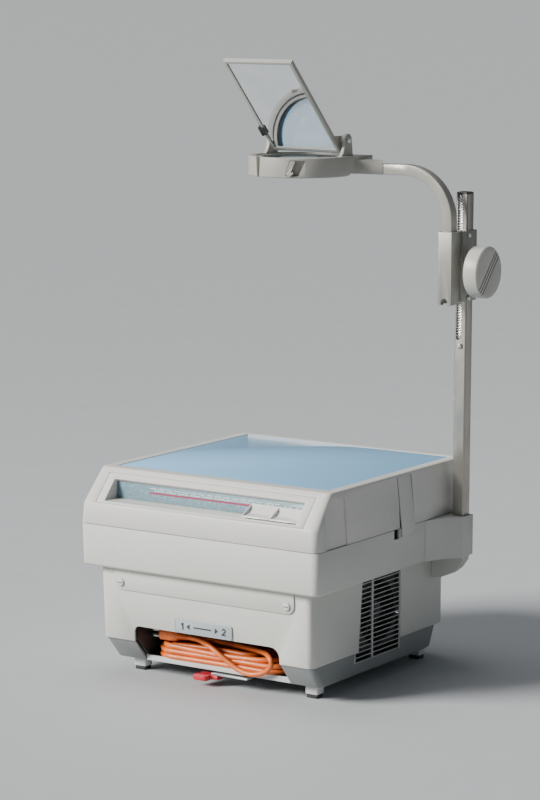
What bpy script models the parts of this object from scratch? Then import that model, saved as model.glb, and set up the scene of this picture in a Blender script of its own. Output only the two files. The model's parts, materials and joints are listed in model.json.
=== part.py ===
"""An overhead projector: light box with a hinged stage, rack-and-pinion column, arm, lens head and mirror."""

import math

import bmesh
import bpy
from mathutils import Matrix, Vector

# All sizes are millimetres in the stage frame: x to the right, y to the back, z up from the stage glass.
MM = 0.001
GAP = 0.3

FLOOR_Z = -249.6
GLASS_X, GLASS_Y, GLASS_THICK = 148.0, 138.6, 4.0
GLASS_TOP = -0.4
LID_BOTTOM, BAND_TOP, BAND_BOTTOM = -63.2, -64.0, -114.7
LID_BACK = 150.0
BAND_X, BAND_FRONT = 167.3, -192.6
HOUSING_TOP, HOUSING_BOTTOM = -115.0, -204.0
HOUSING_X, HOUSING_BACK = 149.0, 144.0
HOUSING_FRONT_TOP, HOUSING_FRONT_BOTTOM = -176.9, -171.2
PAN_TOP, PAN_BOTTOM = -204.5, -231.6
WALL = 3.0
HINGE_X, HINGE_Z, HINGE_R = -173.0, -63.6, 4.0

# Sloping front of the lid, from its top edge to its foot.
SLOPE_TOP, SLOPE_FOOT = (-158.0, -2.5), (-188.8, -37.0)
PANEL_X, RECESS_X = 145.7, 134.5
PANEL_TOP, RECESS_TOP, RECESS_FLOOR, PANEL_FOOT = -5.6, -14.8, -34.8, -36.8
RECESS_BACK = -161.5
KEY_ENDS = ((60.3, 97.4), (98.0, 134.1))
KEY_PIVOT = (-174.5, -33.2)

# Cord bay in the front of the base.
BAY_X = (-102.0, 104.0)
BAY_TOP = -184.8
TRAY_FRONT, TRAY_BACK, TRAY_FLOOR, LIP_TOP = -147.3, -90.0, -226.3, -224.8

# Column, rack and focusing carriage.
COLUMN_X, COLUMN_Y = (174.5, 190.5), (100.8, 117.2)
COLUMN_FOOT, COLUMN_TOP = -111.0, 325.2
BRACKET_TOP = -63.8
GROOVE_X, GROOVE_DEPTH, RACK_Z = (177.0, 184.0), 3.7, (152.0, 324.0)
MODULE, TEETH = 1.0, 14
PITCH_R = MODULE * TEETH / 2
KNOB_Y, KNOB_Z, KNOB_R = 95.0, 234.5, 31.0
KNOB_X = (205.5, 224.5)
COLLAR_X, COLLAR_Y, COLLAR_Z = (171.5, 193.5), (85.8, 119.6), (198.0, 282.5)
SOCKET_X, SOCKET_Y, SOCKET_Z = (172.6, 191.0), (62.7, 85.5), (195.6, 282.6)

# Arm: a square bar bent through a little more than a right angle.
ARM_X, ARM_Y, ARM_THICK = 180.7, (69.0, 83.0), 12.8
BEND_Z, BEND_R, DROOP = 293.4, 59.7, math.radians(1.0)
ARM_END_X = 44.0

# Lens head and mirror.
RING_Y, RING_R, RING_BORE = 27.0, 61.2, 52.6
RING_Z = (344.6, 368.4)
MIRROR_HINGE = (48.0, 387.0)
MIRROR_HALF, MIRROR_FOOT, MIRROR_LONG = 47.6, -7.2, 147.8
MIRROR_DROP, MIRROR_ANGLE = 11.3, math.radians(45)

# Mains lead.
CORD_D = 6.4
HANK_X, HANK_Y, HANK_Z = (-92.6, 94.0), (-150.0, -98.0), (-224.4, -204.6)
PLUG_X, PLUG_Y, PLUG_Z = (-84.0, -44.6), -142.8, -197.0

# The world frame has its origin under the middle of the whole object.
ORIGIN = Vector(
    ((HINGE_X - HINGE_R + KNOB_X[1]) / 2, (BAND_FRONT + LID_BACK) / 2, FLOOR_Z)
)


# ---------------------------------------------------------------- helpers
for old in list(bpy.data.objects):
    bpy.data.objects.remove(old, do_unlink=True)


def empty(name, point, holder=None):
    """An empty at a point of the stage frame, the axis of a joint or the whole object's root."""
    made = bpy.data.objects.new(name, None)
    made.empty_display_size = 0.02
    bpy.context.scene.collection.objects.link(made)
    made.location = (Vector(point) - Vector(holder["point"] if holder else ORIGIN)) * MM
    made["point"] = tuple(point)
    made.parent = holder
    return made


def material(name, colour, roughness=0.5, metallic=0.0, see_through=0.0):
    made = bpy.data.materials.new(name)
    made.use_nodes = True
    shader = made.node_tree.nodes["Principled BSDF"]
    shader.inputs["Base Color"].default_value = (*colour, 1.0)
    shader.inputs["Roughness"].default_value = roughness
    shader.inputs["Metallic"].default_value = metallic
    shader.inputs["Transmission Weight"].default_value = see_through
    made.diffuse_color = (*colour, 1.0)
    return made


def mesh_object(name, geometry, holder):
    """Geometry in stage millimetres, as an object whose origin is its holder's."""
    verts, faces = geometry
    shift = Vector(holder["point"])
    mesh = bpy.data.meshes.new(name)
    mesh.from_pydata([(Vector(v) - shift) * MM for v in verts], [], faces)
    work = bmesh.new()
    work.from_mesh(mesh)
    bmesh.ops.recalc_face_normals(work, faces=work.faces)
    work.to_mesh(mesh)
    work.free()
    made = bpy.data.objects.new(name, mesh)
    bpy.context.scene.collection.objects.link(made)
    made.parent = holder
    return made


def node(name, geometry, look, holder, smooth=False):
    made = mesh_object(name, geometry, holder)
    made.data.materials.append(look)
    if smooth:
        made.data.shade_smooth()
    return made


def boolean(target, operation, *shapes):
    """Boolean modifiers with hidden helper solids, one for each shape."""
    for shape in shapes:
        holder = target.parent
        helper = mesh_object(f"{target.name}_{operation.lower()}", shape, holder)
        helper.hide_render = True
        helper.display_type = "WIRE"
        step = target.modifiers.new(operation.title(), "BOOLEAN")
        step.operation = operation
        step.object = helper
        step.solver = "EXACT"


def cut(target, *shapes):
    boolean(target, "DIFFERENCE", *shapes)


def join(target, *shapes):
    boolean(target, "UNION", *shapes)


def together(*shapes):
    """Several separate solids as one geometry."""
    verts, faces = [], []
    for points, sides in shapes:
        faces += [[i + len(verts) for i in side] for side in sides]
        verts += points
    return verts, faces


def loft(rings):
    """A solid through rings of the same number of points."""
    count = len(rings[0])
    verts = [tuple(p) for ring in rings for p in ring]
    faces = [list(range(count)), list(range(len(verts) - count, len(verts)))]
    for level in range(len(rings) - 1):
        low = level * count
        for i in range(count):
            j = (i + 1) % count
            faces.append([low + i, low + j, low + count + j, low + count + i])
    return verts, faces


def prism(outline, axis, low, high):
    """An outline of the two other coordinates, in order, extruded along an axis."""
    place = "xyz".index(axis)
    rings = []
    for level in (low, high):
        rings.append([(*p[:place], level, *p[place:]) for p in outline])
    return loft(rings)


def box(x, y, z):
    return prism(((x[0], y[0]), (x[1], y[0]), (x[1], y[1]), (x[0], y[1])), "z", *z)


def arc(centre, radius, start, end, steps):
    """Points along an arc, angles in degrees."""
    points = []
    for i in range(steps + 1):
        turn = math.radians(start + (end - start) * i / steps)
        points.append(
            (
                centre[0] + radius * math.cos(turn),
                centre[1] + radius * math.sin(turn),
            )
        )
    return points


def round_box(x, y, front_r, back_r=None, steps=4):
    """A rectangle with round corners, its front and back pairs of corners of their own radius."""
    back_r = front_r if back_r is None else back_r
    return [
        *arc((x[1] - front_r, y[0] + front_r), front_r, -90, 0, steps),
        *arc((x[1] - back_r, y[1] - back_r), back_r, 0, 90, steps),
        *arc((x[0] + back_r, y[1] - back_r), back_r, 90, 180, steps),
        *arc((x[0] + front_r, y[0] + front_r), front_r, 180, 270, steps),
    ]


def plan_loft(levels, steps=4):
    """A loft of round-cornered plans: (z, half width, front y, back y, front radius, back radius)."""
    rings = []
    for z, half, front, back, front_r, back_r in levels:
        plan = round_box((-half, half), (front, back), front_r, back_r, steps)
        rings.append([(px, py, z) for px, py in plan])
    return loft(rings)


def turned(profile, centre, axis, steps=24):
    """A profile of (radius, distance along the axis) turned about an axis through centre.
    It starts and ends on the axis, or it is a closed loop beside it."""
    place = "xyz".index(axis)
    verts, rings = [], []
    for radius, along in profile:
        start = len(verts)
        count = 1 if radius == 0 else steps
        for i in range(count):
            turn = 2 * math.pi * i / steps
            flat = [radius * math.cos(turn), radius * math.sin(turn)]
            flat.insert(place, along)
            verts.append(tuple(a + b for a, b in zip(flat, centre)))
        rings.append([start + i % count for i in range(steps)])
    pairs = list(zip(rings, rings[1:]))
    if profile[0][0] > 0:
        pairs.append((rings[-1], rings[0]))
    faces = []
    for low, high in pairs:
        for i in range(steps):
            j = (i + 1) % steps
            face = [low[i], low[j], high[j], high[i]]
            if len(set(face)) > 2:
                faces.append([k for n, k in enumerate(face) if k not in face[:n]])
    return verts, faces


def rod(centre, axis, radius, low, high, steps=24):
    return turned(((0, low), (radius, low), (radius, high), (0, high)), centre, axis, steps)


def turn_geometry(geometry, matrix, about):
    verts, faces = geometry
    about = Vector(about)
    return [tuple(matrix @ (Vector(v) - about) + about) for v in verts], faces


def slope_y(z, inset=0.0):
    """y of the lid's sloping front at a height, or of a plane that far under it."""
    run = (SLOPE_FOOT[0] - SLOPE_TOP[0]) / (SLOPE_FOOT[1] - SLOPE_TOP[1])
    return SLOPE_TOP[0] + (z - SLOPE_TOP[1]) * run + inset * math.hypot(1, run)


# ---------------------------------------------------------------- materials
BODY = material("body_plastic", (0.62, 0.61, 0.56), 0.55)
BODY_LID = material("lid_plastic", (0.64, 0.63, 0.58), 0.55)
PANEL = material("panel_plastic", (0.66, 0.65, 0.6), 0.5)
LABEL = material("label_film", (0.2, 0.32, 0.4), 0.4)
KEYS = material("key_plastic", (0.72, 0.71, 0.66), 0.4)
PAN = material("pan_plastic", (0.24, 0.26, 0.25), 0.6)
TRAY = material("tray_plastic", (0.6, 0.62, 0.6), 0.5)
GRILLE = material("grille_plastic", (0.5, 0.52, 0.5), 0.55)
COLUMN = material("column_metal", (0.52, 0.5, 0.45), 0.35, 0.9)
ARM = material("arm_metal", (0.5, 0.48, 0.43), 0.4, 0.7)
CARRIAGE = material("carriage_metal", (0.48, 0.46, 0.41), 0.45, 0.4)
HEAD = material("head_plastic", (0.55, 0.53, 0.48), 0.45)
KNOB = material("knob_plastic", (0.62, 0.6, 0.54), 0.45)
STEEL = material("bright_steel", (0.6, 0.6, 0.6), 0.3, 1.0)
BLACK = material("black_plastic", (0.02, 0.02, 0.02), 0.5)
GLASS = material("clear_glass", (0.85, 0.93, 0.97), 0.05, 0.0, 0.9)
FRESNEL = material("fresnel_acrylic", (0.75, 0.85, 0.9), 0.15, 0.0, 0.6)
MIRROR = material("mirror_face", (0.9, 0.92, 0.95), 0.03, 1.0)
FOOT = material("foot_plastic", (0.72, 0.72, 0.7), 0.5)
RUBBER = material("foot_rubber", (0.03, 0.03, 0.03), 0.8)
CORD = material("orange_cord", (0.68, 0.13, 0.03), 0.45)
RED = material("red_lever", (0.6, 0.01, 0.02), 0.4)
PLATE = material("zinc_plate", (0.5, 0.52, 0.53), 0.4, 0.9)
COPPER = material("transformer_core", (0.16, 0.14, 0.13), 0.6, 0.3)
HEAT = material("heat_glass", (0.6, 0.85, 0.75), 0.05, 0.0, 0.9)
LAMP = material("lamp_quartz", (0.85, 0.87, 0.88), 0.1, 0.0, 0.7)
SIGN = material("position_sign", (0.45, 0.5, 0.5), 0.5)


def joint_empties():
    """The root and one empty on each joint's axis."""
    root = empty("projector", (0, 0, 0))
    lid = empty("lid_axis", (HINGE_X, 0, HINGE_Z), root)
    carriage = empty("carriage_slide", (182.5, 109, KNOB_Z), root)
    return {
        "root": root,
        "lid": lid,
        "latch": empty("latch_axis", (161.6, 7.2, -6.0), lid),
        "left key": empty("left_key_axis", (78.8, *KEY_PIVOT), lid),
        "right key": empty("right_key_axis", (116.0, *KEY_PIVOT), lid),
        "carriage": carriage,
        "knob": empty("knob_axis", (KNOB_X[0], KNOB_Y, KNOB_Z), carriage),
        "mirror": empty("mirror_axis", (0, *MIRROR_HINGE), carriage),
        "lamps": empty("lamp_slide_axis", (20, -62, -233), root),
        "fan": empty("fan_axis", (134, -20, -165), root),
    }


# ---------------------------------------------------------------- light box
def knuckle(y, upward):
    """One hinge knuckle with the web that carries it to the wall."""
    end = -166.2
    web_z = (HINGE_Z, HINGE_Z + 9.5) if upward else (HINGE_Z - 9.5, HINGE_Z)
    web = ((HINGE_X - 3.6, web_z[0]), (end, web_z[0]), (end, web_z[1]), (HINGE_X, web_z[1]))
    if not upward:
        web = ((HINGE_X - 3.6, web_z[1]), (end, web_z[1]), (end, web_z[0]), (HINGE_X, web_z[0]))
    barrel = rod((HINGE_X, 0, HINGE_Z), "y", HINGE_R, *y, steps=16)
    return prism(web, "y", *y), barrel


def stage_lid(at):
    lid = node(
        "lid_cover",
        plan_loft(
            (
                (LID_BOTTOM, 167.6, -192.4, LID_BACK, 9, 9),
                (-39.6, 166.2, -190.7, 149.6, 9, 9),
                (SLOPE_FOOT[1], 166.0, SLOPE_FOOT[0], 149.5, 9, 9),
                (SLOPE_TOP[1], 162.6, SLOPE_TOP[0], 148.6, 7, 7),
                (-0.7, 162.0, -156.2, 148.2, 6.5, 6.5),
                (0, 161.0, -155.2, 147.4, 6, 6),
            )
        ),
        BODY_LID,
        at,
    )
    inside = plan_loft(
        (
            (LID_BOTTOM - 2, 164.4, -189.2, 147, 7, 7),
            (-40.5, 163.2, -187.4, 146.6, 7, 7),
            (-36.5, 162.6, slope_y(-36.5, WALL), 146, 7, 7),
            (-9.2, 159.8, slope_y(-9.2, WALL), 145, 6, 6),
        )
    )
    opening = (
        (-205, PANEL_FOOT - GAP),
        (-150.5, PANEL_FOOT - GAP),
        (-150.5, PANEL_TOP + GAP),
        (-170, PANEL_TOP + GAP),
    )
    latch_slot = ((158.8, -80), (180, -80), (180, -3.0), (158.8, -3.0))
    side_step = ((167.0, -80), (180, -80), (180, -9), (161.9, -9))
    cut(
        lid,
        inside,
        box((-149, 149), (-139.6, 139.6), (-4.8, 1)),
        box((-142, 142), (-132.6, 132.6), (-12, -4)),
        prism(opening, "x", -146.3, 146.3),
        prism(latch_slot, "y", -9.6, 24.0),
        prism(side_step, "y", -172, -127),
    )
    for y in (-75.0, 75.0):
        join(lid, *knuckle((y + 0.3, y + 12), True))
    cut(lid, rod((HINGE_X, 0, HINGE_Z), "y", 2.1, -100, 100, 12))

    glass_bottom = GLASS_TOP - GLASS_THICK
    pane = round_box((-GLASS_X, GLASS_X), (-GLASS_Y, GLASS_Y), 2, steps=2)
    node("stage_glass", prism(pane, "z", glass_bottom, GLASS_TOP), GLASS, at)
    lens = round_box((-147, 147), (-136, 138), 2, steps=2)
    node("fresnel_lens", prism(lens, "z", -11.6, -9.5), FRESNEL, at)


def control_panel(at):
    outline = (
        (slope_y(PANEL_TOP), PANEL_TOP),
        (slope_y(PANEL_FOOT), PANEL_FOOT),
        (-151, PANEL_FOOT),
        (-151, PANEL_TOP),
    )
    panel = node("control_panel", prism(outline, "x", -PANEL_X, PANEL_X), PANEL, at)
    recess = (
        (-200, RECESS_FLOOR),
        (RECESS_BACK, RECESS_FLOOR),
        (RECESS_BACK + 1.3, RECESS_TOP),
        (slope_y(-10.8, -1.0), -10.8),
        (-200, -10.8),
    )
    cut(panel, prism(recess, "x", -RECESS_X, RECESS_X))
    foot, head = RECESS_BACK - GAP, RECESS_BACK + 1.3 - GAP
    film = (
        (foot, RECESS_FLOOR + GAP),
        (head, RECESS_TOP - GAP),
        (head - 0.6, RECESS_TOP - GAP),
        (foot - 0.6, RECESS_FLOOR + GAP),
    )
    node("label_panel", prism(film, "x", -RECESS_X + GAP, RECESS_X - GAP), LABEL, at)


def rocker_key(name, ends, at):
    """A key with a scooped top and a thin cheek on its left, that rocks about a ridge under it."""
    outline = (
        (-163.2, -21.0),
        (-164.6, -21.2),
        (-167.6, -26.0),
        (-172.4, -29.6),
        (-178.4, -31.4),
        (-185.0, -32.0),
        (-185.4, -33.0),
        (KEY_PIVOT[0], RECESS_FLOOR + GAP),
        (-163.2, -33.6),
    )
    key = node(name, prism(outline, "x", *ends), KEYS, at)
    cheek = (
        (-163.2, -20.8),
        (-172.0, -24.4),
        (-180.0, -28.6),
        (-185.3, -32.4),
        (-178.0, -32.6),
        (-166.0, -32.0),
        (-163.2, -24.0),
    )
    join(key, prism(cheek, "x", ends[0], ends[0] + 0.9))


def latch_tongue(at):
    outline = (
        (162.3, -3.4),
        (170.2, -67.0),
        (170.2, -74.7),
        (167.9, -74.7),
        (167.9, -63.0),
        (160.0, -3.4),
    )
    node("latch_tongue", prism(outline, "y", -7.2, 21.8), BODY_LID, at)


def band(at):
    rim = node(
        "rim_frame",
        plan_loft(
            (
                (BAND_TOP, BAND_X, BAND_FRONT, LID_BACK, 9, 9),
                (BAND_BOTTOM + 2.5, BAND_X, -189.9, LID_BACK, 9, 9),
                (BAND_BOTTOM, BAND_X - 2.2, -187.6, LID_BACK - 2.2, 8, 8),
            )
        ),
        BODY,
        at,
    )
    inside = plan_loft(
        (
            (BAND_TOP + 1, BAND_X - WALL, -189.6, 147, 7, 7),
            (BAND_BOTTOM + WALL, BAND_X - WALL, -187, 147, 7, 7),
        )
    )
    cut(
        rim,
        inside,
        box((-144, 144), (-168, 138), (BAND_BOTTOM - 2, BAND_BOTTOM + 4)),
        box((160, 172), (-22.0, -10.0), (-75.5, BAND_TOP + 1)),
    )
    for y in (-75.0, 75.0):
        join(rim, *knuckle((y - 12, y - 0.3), False))
    cut(rim, rod((HINGE_X, 0, HINGE_Z), "y", 2.1, -100, 100, 12))
    node("lid_hinge_rod", rod((HINGE_X, 0, HINGE_Z), "y", 1.8, -90, 90, 12), STEEL, at)


def lower_housing(at):
    housing = node(
        "lower_housing",
        plan_loft(
            (
                (HOUSING_TOP, HOUSING_X, HOUSING_FRONT_TOP, HOUSING_BACK, 8, 30),
                (HOUSING_BOTTOM, HOUSING_X, HOUSING_FRONT_BOTTOM, HOUSING_BACK, 8, 30),
            ),
            5,
        ),
        BODY,
        at,
    )
    inner_x, inner_back = HOUSING_X - WALL, HOUSING_BACK - WALL
    inside = plan_loft(
        (
            (HOUSING_TOP + 1, inner_x, HOUSING_FRONT_TOP + WALL, inner_back, 5, 27),
            (HOUSING_BOTTOM - 1, inner_x, HOUSING_FRONT_BOTTOM + WALL, inner_back, 5, 27),
        ),
        5,
    )
    mouth = [
        (BAY_X[1], -210),
        *arc((BAY_X[1] - 12, BAY_TOP - 12), 12, 0, 90, 5),
        *arc((BAY_X[0] + 7, BAY_TOP - 7), 7, 90, 180, 4),
        (BAY_X[0], -210),
    ]
    vent = ((-63.6, -117.2), (25.3, -117.2), (25.3, -210), (-71.3, -210), (-71.3, -204.8))
    cut(
        housing,
        inside,
        prism(mouth, "y", -180, -160),
        prism(vent, "x", 144, 152),
    )

    plate = [
        *arc((-117.5, -132), 10, 180, 270, 4),
        *arc((117.5, -132), 10, 270, 360, 4),
        (127.5, -115.6),
        (-127.5, -115.6),
    ]
    shelf = node("front_plate", prism(plate, "y", -1.6, 0), BODY, at)
    lean = math.atan2(
        HOUSING_FRONT_BOTTOM - HOUSING_FRONT_TOP, HOUSING_TOP - HOUSING_BOTTOM
    )
    for vertex in shelf.data.vertices:
        drop = HOUSING_TOP * MM - vertex.co.z
        vertex.co.y += (HOUSING_FRONT_TOP - GAP) * MM + drop * math.tan(lean)
    for name, x in (("front_plate_screw_left", -117.6), ("front_plate_screw_right", 117.6)):
        face = HOUSING_FRONT_TOP + (HOUSING_TOP + 132.8) * math.tan(lean) - 1.6 - 2 * GAP
        head = ((0, 0), (5.0, 0), (5.0, -0.8), (4.2, -1.7), (0, -1.9))
        node(name, turned(head, (x, face - 0.2, -132.8), "y", 20), BODY, at)

    sign = round_box((-42.0, 40.0), (-184.0, -167.0), 2.5, steps=2)
    face = HOUSING_FRONT_TOP + (HOUSING_TOP + 166) * math.tan(lean) - GAP
    node("position_sign", prism(sign, "y", face - 0.8, face), SIGN, at)


def base_pan(at):
    pan = node(
        "base_pan",
        plan_loft(
            (
                (PAN_TOP, 148.4, -169.8, 137.0, 8, 38),
                (PAN_BOTTOM + 1.8, 146.6, -148.4, 131.0, 8, 42),
                (PAN_BOTTOM, 145.0, -147.0, 129.4, 7, 42),
            ),
            5,
        ),
        PAN,
        at,
    )
    inside = plan_loft(
        (
            (PAN_TOP + 1, 145.4, -167.6, 134.0, 5, 35),
            (PAN_BOTTOM + WALL, 143.6, -145.0, 128.0, 5, 39),
        ),
        5,
    )
    cut(
        pan,
        inside,
        box((BAY_X[0] - GAP, BAY_X[1] + GAP), (-180, -140), (-240, -200)),
        box((142, 152), (-78.3, 25.3), (-216.9, -200)),
        box((10, 76), (-69, -55), (-240, -220)),
    )


def vent_grille(at):
    """A louvred panel: an outline with a stepped front edge, a rib, and slots between the slats."""
    outline = (
        (-63.3, -117.5),
        (25.0, -117.5),
        (25.0, -216.6),
        (-78.0, -216.6),
        (-78.0, PAN_TOP - GAP),
        (-71.0, PAN_TOP - GAP),
    )
    panel = node("vent_grille", prism(outline, "x", 146.7, 148.4), GRILLE, at)
    slots = []
    pitch = 5.75
    for row in range(17):
        z = -118.9 - row * pitch
        front = -61.6 - 7.6 * min(row * pitch / 87, 1) - (6.6 if z < PAN_TOP else 0)
        for y in ((front, -39.6), (-36.4, 23.4)):
            slots.append(box((144, 150), y, (z - 4.7, z)))
    cut(panel, together(*slots))


def feet(at):
    for x_name, x in (("left", -123.0), ("right", 123.0)):
        for y_name, y in (("front", -125.0), ("rear", 108.0)):
            block = round_box((x - 8.4, x + 8.4), (y - 7.4, y + 7.4), 1.2, steps=2)
            foot = prism(block, "z", FLOOR_Z + 4.9, PAN_BOTTOM - GAP)
            node(f"foot_{y_name}_{x_name}", foot, FOOT, at)
            pad = round_box((x - 7.4, x + 7.4), (y - 6.4, y + 6.4), 1.2, steps=2)
            sole = prism(pad, "z", FLOOR_Z, FLOOR_Z + 4.9 - GAP)
            node(f"foot_pad_{y_name}_{x_name}", sole, RUBBER, at)


# ---------------------------------------------------------------- cord bay and lead
def cord_bay(at):
    side = (
        (TRAY_FRONT, -231.4),
        (TRAY_FRONT, LIP_TOP),
        (-164.6, -204.6),
        (-167.0, -203.0),
        (-167.0, -187.4),
        (TRAY_BACK, -187.4),
        (TRAY_BACK, -228.3),
        (-140.3, -228.3),
        (-140.3, -231.4),
    )
    tray = node("cord_bay_tray", prism(side, "x", *BAY_X), TRAY, at)
    hollow = (
        (-200, LIP_TOP),
        (-144.6, LIP_TOP),
        (-144.6, TRAY_FLOOR),
        (TRAY_BACK - 2.4, TRAY_FLOOR),
        (TRAY_BACK - 2.4, -180),
        (-200, -180),
    )
    cut(tray, prism(hollow, "x", BAY_X[0] + 2.4, BAY_X[1] - 2.4))
    gland = ((0, 0), (6.4, 0), (6.4, 1.6), (4.8, 2.2), (4.8, 6.4), (0, 6.4))
    base = (BAY_X[0] + 2.4 + GAP, HANK_Y[1] - 3.2, HANK_Z[0] + 4.8)
    node("cord_gland", turned(gland, base, "x", 16), BLACK, at)


def tail_points():
    """The loose end of the lead: along the top of the hank, over the lip in one loop, and back to the plug."""
    return (
        (-30.0, -124.0, -201.0),
        (-8.0, -126.0, -200.8),
        (14.0, -130.0, -200.6),
        (36.0, -135.0, -200.6),
        (56.0, -140.6, -200.6),
        (71.0, -148.4, -200.6),
        (80.6, -154.4, -205.2),
        (81.5, -155.2, -212.4),
        (75.0, -155.4, -219.4),
        (63.0, -155.6, -224.6),
        (49.0, -155.6, -225.8),
        (35.0, -155.4, -222.4),
        (22.0, -155.0, -216.0),
        (9.0, -154.8, -208.8),
        (-4.0, -153.2, -202.2),
        (-17.0, -149.0, -198.8),
        (-30.0, -144.4, -197.4),
        (PLUG_X[1] + GAP, PLUG_Y, PLUG_Z),
    )


def smooth_line(points, per_span=4):
    """A Catmull-Rom curve through the points."""
    line = []
    ends = [points[0], *points, points[-1]]
    for a, b, c, d in zip(ends, ends[1:], ends[2:], ends[3:]):
        a, b, c, d = Vector(a), Vector(b), Vector(c), Vector(d)
        for i in range(per_span):
            t = i / per_span
            line.append(
                0.5
                * (
                    2 * b
                    + (c - a) * t
                    + (2 * a - 5 * b + 4 * c - d) * t**2
                    + (3 * b - a - 3 * c + d) * t**3
                )
            )
    return [*line, Vector(points[-1])]


def mains_lead(at):
    depth = HANK_Y[1] - HANK_Y[0]
    hank = round_box(HANK_X, HANK_Y, depth / 2 - 0.01, steps=8)
    node("mains_cord_hank", prism(hank, "z", *HANK_Z), CORD, at)

    line = smooth_line(tail_points())
    curve = bpy.data.curves.new("mains_cord_lead", "CURVE")
    curve.dimensions = "3D"
    curve.bevel_depth = CORD_D / 2 * MM
    curve.bevel_resolution = 2
    curve.use_fill_caps = True
    spline = curve.splines.new("POLY")
    spline.points.add(len(line) - 1)
    for point, place in zip(spline.points, line):
        point.co = (*(place * MM), 1)
    curve.materials.append(CORD)
    lead = bpy.data.objects.new("mains_cord_lead", curve)
    bpy.context.scene.collection.objects.link(lead)
    lead.parent = at

    rings = []
    left, right = PLUG_X
    for along, half_y, half_z in (
        (0.0, 6.0, 6.4),
        (0.06, 6.6, 7.2),
        (0.5, 6.6, 7.2),
        (0.66, 5.2, 6.2),
        (0.74, 4.6, 4.6),
        (0.97, 3.9, 3.9),
        (1.0, 3.6, 3.6),
    ):
        plan = round_box(
            (PLUG_Y - half_y, PLUG_Y + half_y),
            (PLUG_Z - half_z, PLUG_Z + half_z),
            min(half_y, half_z) * 0.8,
            steps=3,
        )
        x = left + (right - left) * along
        rings.append([(x, py, pz) for py, pz in plan])
    plug = node("mains_plug", loft(rings), CORD, at)
    for z in (PLUG_Z - 3.6, PLUG_Z + 3.6):
        pin = ((0, -13), (1.4, -13), (2.0, -12), (2.0, 2), (0, 2))
        join(plug, turned(pin, (left, PLUG_Y, z), "x", 10))


# ---------------------------------------------------------------- inside the light box
def optics_and_fan(at, fan_at, lamps_at):
    frame = node("fan_frame", box((119, 144), (-62, 22), (-207, -123)), BLACK, at)
    cut(frame, rod((119, -20, -165), "x", 39, -1, 26, 28))
    bars = together(
        box((119, 122), (-61, -30), (-167, -163)),
        box((119, 122), (-10, 21), (-167, -163)),
    )
    join(frame, bars)
    join(frame, rod((119, -20, -165), "x", 12, 0, 3, 16))
    rotor = node("fan_rotor", rod((122.6, -20, -165), "x", 13, 0, 18, 20), BLACK, fan_at)
    for blade in range(7):
        vane = box((125, 139), (-21.2, -18.8), (-165 + 11, -165 + 36.5))
        twist = Matrix.Rotation(math.radians(38), 3, "Z")
        vane = turn_geometry(vane, twist, (132, -20, -165))
        spin = Matrix.Rotation(2 * math.pi * blade / 7, 3, "X")
        join(rotor, turn_geometry(vane, spin, (132, -20, -165)))

    core = node("transformer", box((-120, -56), (52, 112), (-228.3, -178)), COPPER, at)
    join(
        core,
        box((-108, -68), (45, 119), (-219, -187)),
    )

    rail = node("lamp_rail", box((-76, 88), (-34, 34), (-228.3, -225)), PLATE, at)
    for y, shelf in (((-34, -30.6), (-31, -26.6)), ((30.6, 34), (26.6, 31))):
        join(
            rail,
            box((-76, 88), y, (-227, -196)),
            box((-40, 40), y, (-198, -142.4)),
            box((-36, 36), shelf, (-154.6, -151.8)),
        )
    cut(rail, box((12, 74), (-36, -29), (-208, -202)))
    node("heat_glass", box((-35, 35), (-30.2, 30.2), (-151.4, -148.6)), HEAT, at)
    lens = ((0, -142), (36, -142), (36, -138.5), (28, -132), (15, -127), (0, -125.4))
    node("condenser_lens", turned(lens, (0, 0, 0), "z", 24), GLASS, at, smooth=True)

    slide = node(
        "lamp_slide", box((-68, 26), (-30.2, 30.2), (-206.4, -203.4)), PLATE, lamps_at
    )
    join(
        slide,
        box((14, 26), (-68, -30), (-206.4, -203.4)),
        box((14, 26), (-68, -64.6), (-234.4, -203.4)),
        box((-5, 46), (-152, -60), (-235.6, -233.2)),
    )
    for name, x in (("lamp_1", 0.0), ("lamp_2", -45.0)):
        bulb = (
            (0, -203.1),
            (6.5, -203.1),
            (6.5, -192),
            (5.2, -190),
            (6.8, -184),
            (6.8, -172),
            (3.6, -165.6),
            (0, -164),
        )
        node(name, turned(bulb, (x, 0, 0), "z", 16), LAMP, lamps_at, smooth=True)
    tip = [
        (-25.6, -152.3),
        (-5.3, -152.3),
        (-5.3, -158.0),
        *arc((-9.0, -158.6), 3.7, 0, -90, 3),
        *arc((-21.9, -158.6), 3.7, -90, -180, 3),
    ]
    lever = node("lamp_lever", prism(tip, "z", -241.6, -235.9), RED, lamps_at)
    join(lever, box((-24, 4), (-152.3, -140), (-241.0, -235.9)))


# ---------------------------------------------------------------- column and focusing gear
def rack_outline():
    """Teeth along the rack's front, as (y, z)."""
    pitch = math.pi * MODULE
    pitch_y = KNOB_Y + PITCH_R
    tip_y, root_y = pitch_y - 0.9 * MODULE, pitch_y + 1.2 * MODULE
    back = COLUMN_Y[0] + GROOVE_DEPTH - GAP
    low, high = RACK_Z
    first = math.ceil((low - KNOB_Z) / pitch + 0.5)
    last = math.floor((high - KNOB_Z) / pitch - 0.5)
    points = [(back, low), (root_y, low)]
    for tooth in range(first, last + 1):
        z = KNOB_Z + tooth * pitch
        points += [
            (root_y, z - 0.31 * pitch),
            (tip_y, z - 0.11 * pitch),
            (tip_y, z + 0.11 * pitch),
            (root_y, z + 0.31 * pitch),
        ]
    return [*points, (root_y, high), (back, high)]


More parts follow.
